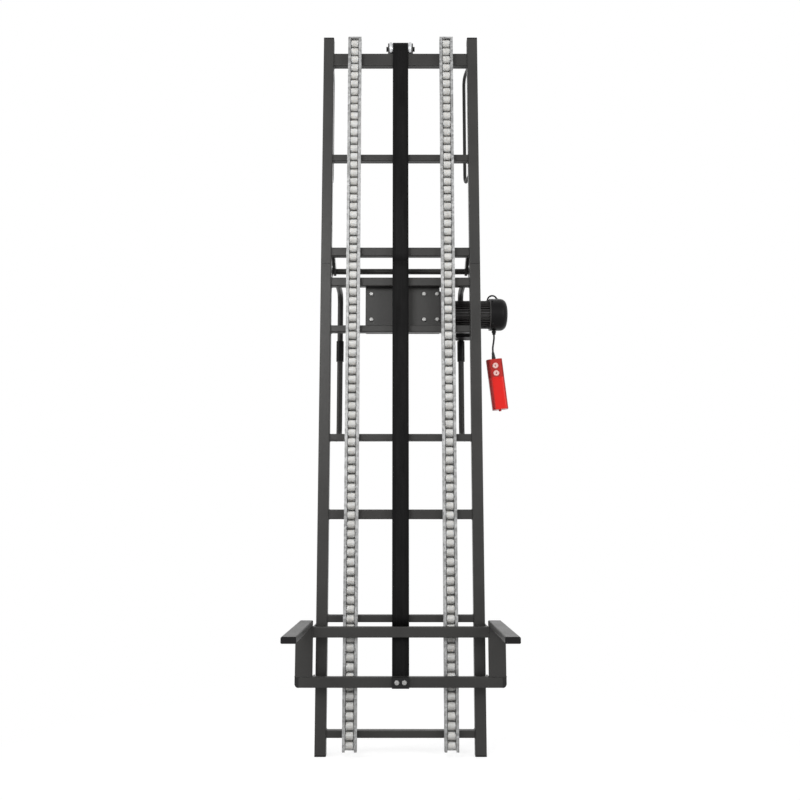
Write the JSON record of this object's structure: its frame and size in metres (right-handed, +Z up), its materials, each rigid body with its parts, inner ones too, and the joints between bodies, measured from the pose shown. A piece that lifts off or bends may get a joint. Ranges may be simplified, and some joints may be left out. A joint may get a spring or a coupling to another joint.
{
  "type": "material hoist",
  "caption": "Folding ladder frame with roller tracks, a belt winch, a top pulley and a fork carriage that the belt lifts, with a two-button pendant.",
  "frame": {"origin": "midway between the two feet, at the level of their soles and the middle of the stiles' depth", "axes": "+X across the frame towards the motor, +Y to the back, +Z up the frame"},
  "size_m": [0.7758, 0.7605, 2.688],
  "materials": {
    "frame_paint": "satin dark grey paint",
    "galvanised": "galvanised steel sheet",
    "zinc_bolts": "zinc plated",
    "pulley_metal": "turned aluminium",
    "black_bolt": "blackened steel",
    "rollers": "pale plastic",
    "black_plastic": "moulded black plastic",
    "motor_casting": "black paint on casting",
    "cable": "matt rubber",
    "belt_web": "woven black webbing",
    "pendant_red": "red moulded plastic",
    "button_white": "white moulded plastic"
  },
  "bodies": {
    "lower_frame": {"lower_stile_left": "frame_paint", "lower_stile_right": "frame_paint", "lower_rungs": "frame_paint", "foot_plugs": "black_plastic", "track_lower_left": "galvanised", "track_lower_right": "galvanised", "rollers_lower_left": "rollers", "rollers_lower_right": "rollers", "roller_pins_lower": "galvanised", "winch_plate": "frame_paint", "winch_bolts": "zinc_bolts", "drum_bracket": "frame_paint", "winch_gearbox": "motor_casting", "motor_body": "motor_casting", "motor_cap": "black_plastic", "terminal_box": "black_plastic", "motor_lead": "cable", "cord_gland": "black_plastic", "pendant_cord": "cable", "pendant_strain_relief": "cable", "pendant_front": "pendant_red", "pendant_back": "pendant_red", "hinge_lugs": "frame_paint", "hinge_axle": "frame_paint", "lower_bows": "frame_paint", "bow_grips": "black_plastic", "belt_front_lower": "belt_web", "belt_back_lower": "belt_web"},
    "upper_frame": {"upper_stile_left": "frame_paint", "upper_stile_right": "frame_paint", "upper_rungs": "frame_paint", "stile_caps": "black_plastic", "track_upper_left": "galvanised", "track_upper_right": "galvanised", "rollers_upper_left": "rollers", "rollers_upper_right": "rollers", "roller_pins_upper": "galvanised", "hinge_arms": "frame_paint", "upper_bows": "frame_paint", "pulley_cheeks": "frame_paint", "pulley_bolt": "black_bolt", "belt_front_upper": "belt_web", "belt_back_upper": "belt_web"},
    "pulley": {"top_pulley": "pulley_metal"},
    "drum": {"winch_drum": "galvanised", "belt_winding": "belt_web"},
    "carriage": {"carriage_bars": "frame_paint", "carriage_sides": "frame_paint", "fork_arms": "frame_paint", "end_plugs": "black_plastic", "guide_plates": "frame_paint", "belt_end": "belt_web", "belt_clamp": "black_bolt", "clamp_bolts": "zinc_bolts"},
    "guide_bearing_rear_left": {"guide_bearing_rear_left": "zinc_bolts"},
    "guide_bearing_rear_right": {"guide_bearing_rear_right": "zinc_bolts"},
    "guide_bearing_front_left": {"guide_bearing_front_left": "zinc_bolts"},
    "guide_bearing_front_right": {"guide_bearing_front_right": "zinc_bolts"},
    "button_up": {"button_up": "button_white"},
    "button_down": {"button_down": "button_white"}
  },
  "joints": [
    {"name": "section_fold", "type": "hinge", "parent": "lower_frame", "child": "upper_frame", "pos_m": [0, 0.106, 1.7785], "axis": [1, 0, 0], "range_deg": [-180, 0]},
    {"name": "carriage_slide", "type": "slide", "parent": "lower_frame", "child": "carriage", "axis": [0, 0, 1], "range_m": [0, 2.1], "deforming": ["belt_front_lower", "belt_front_upper"]},
    {"name": "pulley_spin", "type": "hinge", "parent": "upper_frame", "child": "pulley", "pos_m": [0, 0.004, 2.6518], "axis": [1, 0, 0], "range_deg": [-5400, 0]},
    {"name": "drum_spin", "type": "hinge", "parent": "lower_frame", "child": "drum", "pos_m": [0, 0.1, 1.60395], "axis": [1, 0, 0], "range_deg": [0, 2600]},
    {"name": "guide_bearing_rear_left_spin", "type": "hinge", "parent": "carriage", "child": "guide_bearing_rear_left", "pos_m": [-0.2875, 0.0313, 0.431], "axis": [1, 0, 0], "range_deg": [0, 11000]},
    {"name": "guide_bearing_rear_right_spin", "type": "hinge", "parent": "carriage", "child": "guide_bearing_rear_right", "pos_m": [0.2875, 0.0313, 0.431], "axis": [1, 0, 0], "range_deg": [0, 11000]},
    {"name": "guide_bearing_front_left_spin", "type": "hinge", "parent": "carriage", "child": "guide_bearing_front_left", "pos_m": [-0.2875, -0.0313, 0.2555], "axis": [1, 0, 0], "range_deg": [-11000, 0]},
    {"name": "guide_bearing_front_right_spin", "type": "hinge", "parent": "carriage", "child": "guide_bearing_front_right", "pos_m": [0.2875, -0.0313, 0.2555], "axis": [1, 0, 0], "range_deg": [-11000, 0]},
    {"name": "button_up_press", "type": "slide", "parent": "lower_frame", "child": "button_up", "axis": [0, 1, 0], "range_m": [0, 0.003], "stiffness_N_per_m": 400},
    {"name": "button_down_press", "type": "slide", "parent": "lower_frame", "child": "button_down", "axis": [0, 1, 0], "range_m": [0, 0.003], "stiffness_N_per_m": 400}
  ],
  "couplings": [
    {"joint": "pulley_spin", "follows": "carriage_slide", "rad_per_m": -43.668},
    {"joint": "drum_spin", "follows": "carriage_slide", "rad_per_m": 20.812},
    {"joint": "guide_bearing_rear_left_spin", "follows": "carriage_slide", "rad_per_m": 90.909},
    {"joint": "guide_bearing_rear_right_spin", "follows": "carriage_slide", "rad_per_m": 90.909},
    {"joint": "guide_bearing_front_left_spin", "follows": "carriage_slide", "rad_per_m": -90.909},
    {"joint": "guide_bearing_front_right_spin", "follows": "carriage_slide", "rad_per_m": -90.909}
  ]
}
